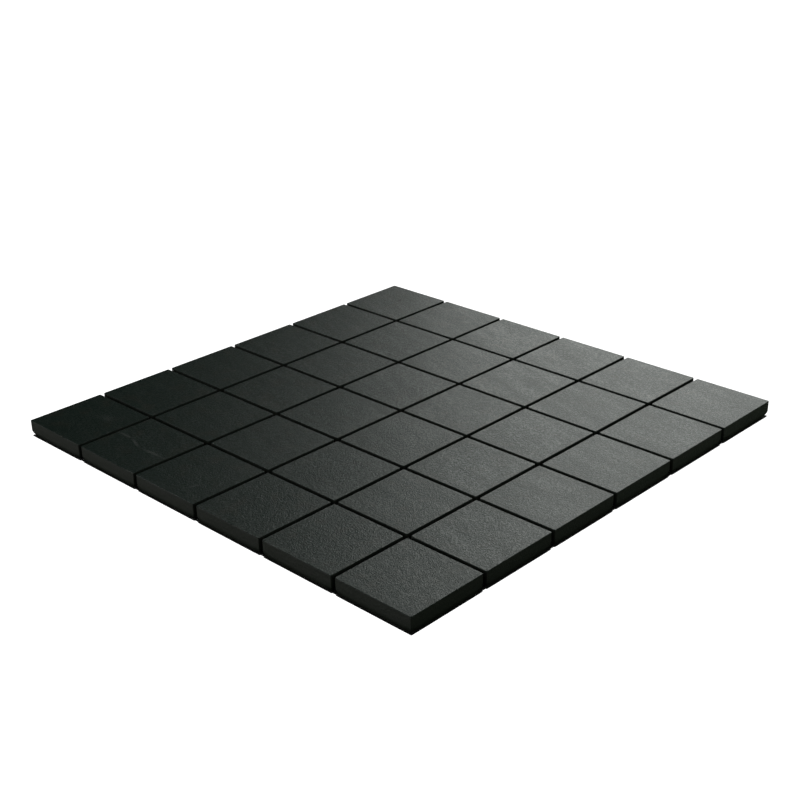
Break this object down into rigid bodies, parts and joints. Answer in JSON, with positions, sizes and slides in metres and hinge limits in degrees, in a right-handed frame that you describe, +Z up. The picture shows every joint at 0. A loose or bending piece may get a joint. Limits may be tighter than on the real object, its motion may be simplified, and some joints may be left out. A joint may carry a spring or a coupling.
{
  "type": "porcelain mosaic tile",
  "caption": "Sheet of square anthracite porcelain chips with open joints, held by a glued net on their backs.",
  "frame": {"origin": "middle of the sheet, on the plane that it lies on", "axes": "+Z up out of the wearing face; +X and +Y along the two sides of the square sheet"},
  "size_m": [0.3, 0.3, 0.01],
  "materials": {
    "porcelain": "unglazed anthracite porcelain, satin, finely speckled",
    "net_yarn": "glass yarn in a black binder, matt"
  },
  "bodies": {
    "root": {"chip_row1_col1": "porcelain", "chip_row1_col2": "porcelain", "chip_row1_col3": "porcelain", "chip_row1_col4": "porcelain", "chip_row1_col5": "porcelain", "chip_row1_col6": "porcelain", "chip_row2_col1": "porcelain", "chip_row2_col2": "porcelain", "chip_row2_col3": "porcelain", "chip_row2_col4": "porcelain", "chip_row2_col5": "porcelain", "chip_row2_col6": "porcelain", "chip_row3_col1": "porcelain", "chip_row3_col2": "porcelain", "chip_row3_col3": "porcelain", "chip_row3_col4": "porcelain", "chip_row3_col5": "porcelain", "chip_row3_col6": "porcelain", "chip_row4_col1": "porcelain", "chip_row4_col2": "porcelain", "chip_row4_col3": "porcelain", "chip_row4_col4": "porcelain", "chip_row4_col5": "porcelain", "chip_row4_col6": "porcelain", "chip_row5_col1": "porcelain", "chip_row5_col2": "porcelain", "chip_row5_col3": "porcelain", "chip_row5_col4": "porcelain", "chip_row5_col5": "porcelain", "chip_row5_col6": "porcelain", "chip_row6_col1": "porcelain", "chip_row6_col2": "porcelain", "chip_row6_col3": "porcelain", "chip_row6_col4": "porcelain", "chip_row6_col5": "porcelain", "chip_row6_col6": "porcelain", "net_yarns_lengthwise": "net_yarn", "net_yarns_crosswise": "net_yarn"}
  },
  "joints": []
}
